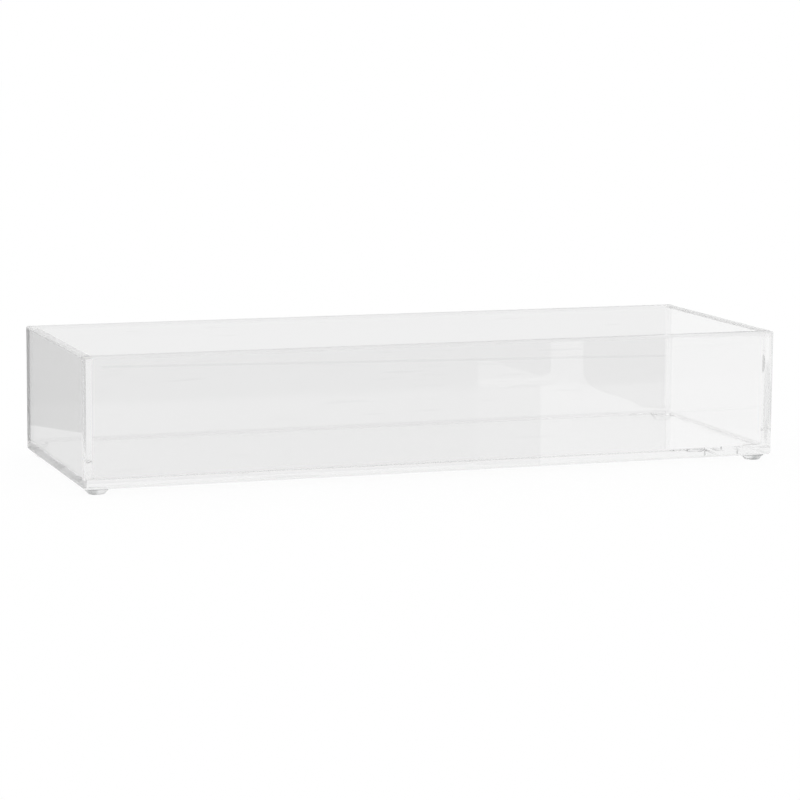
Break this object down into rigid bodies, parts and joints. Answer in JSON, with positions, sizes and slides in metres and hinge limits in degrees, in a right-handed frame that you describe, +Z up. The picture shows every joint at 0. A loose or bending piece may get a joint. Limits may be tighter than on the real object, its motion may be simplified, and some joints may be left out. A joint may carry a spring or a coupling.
{
  "type": "organizer tray",
  "caption": "Open-topped rectangular organizer tray of clear acrylic sheets bonded edge to face, standing on small clear bumper feet near its corners.",
  "frame": {"origin": "on the surface that the feet stand on, below the middle of the tray", "axes": "+X along the length of the tray, -Y towards the front wall, +Z up"},
  "size_m": [0.3, 0.105, 0.0555],
  "materials": {
    "clear_acrylic": "colourless clear cast acrylic sheet, polished faces and edges",
    "clear_bumper": "clear soft polyurethane, satin",
    "clear_adhesive": "clear self-adhesive film"
  },
  "bodies": {
    "root": {"base_panel": "clear_acrylic", "front_wall": "clear_acrylic", "back_wall": "clear_acrylic", "left_end_wall": "clear_acrylic", "right_end_wall": "clear_acrylic", "front_left_foot": "clear_bumper", "front_right_foot": "clear_bumper", "back_left_foot": "clear_bumper", "back_right_foot": "clear_bumper", "front_left_foot_adhesive": "clear_adhesive", "front_right_foot_adhesive": "clear_adhesive", "back_left_foot_adhesive": "clear_adhesive", "back_right_foot_adhesive": "clear_adhesive"}
  },
  "joints": []
}
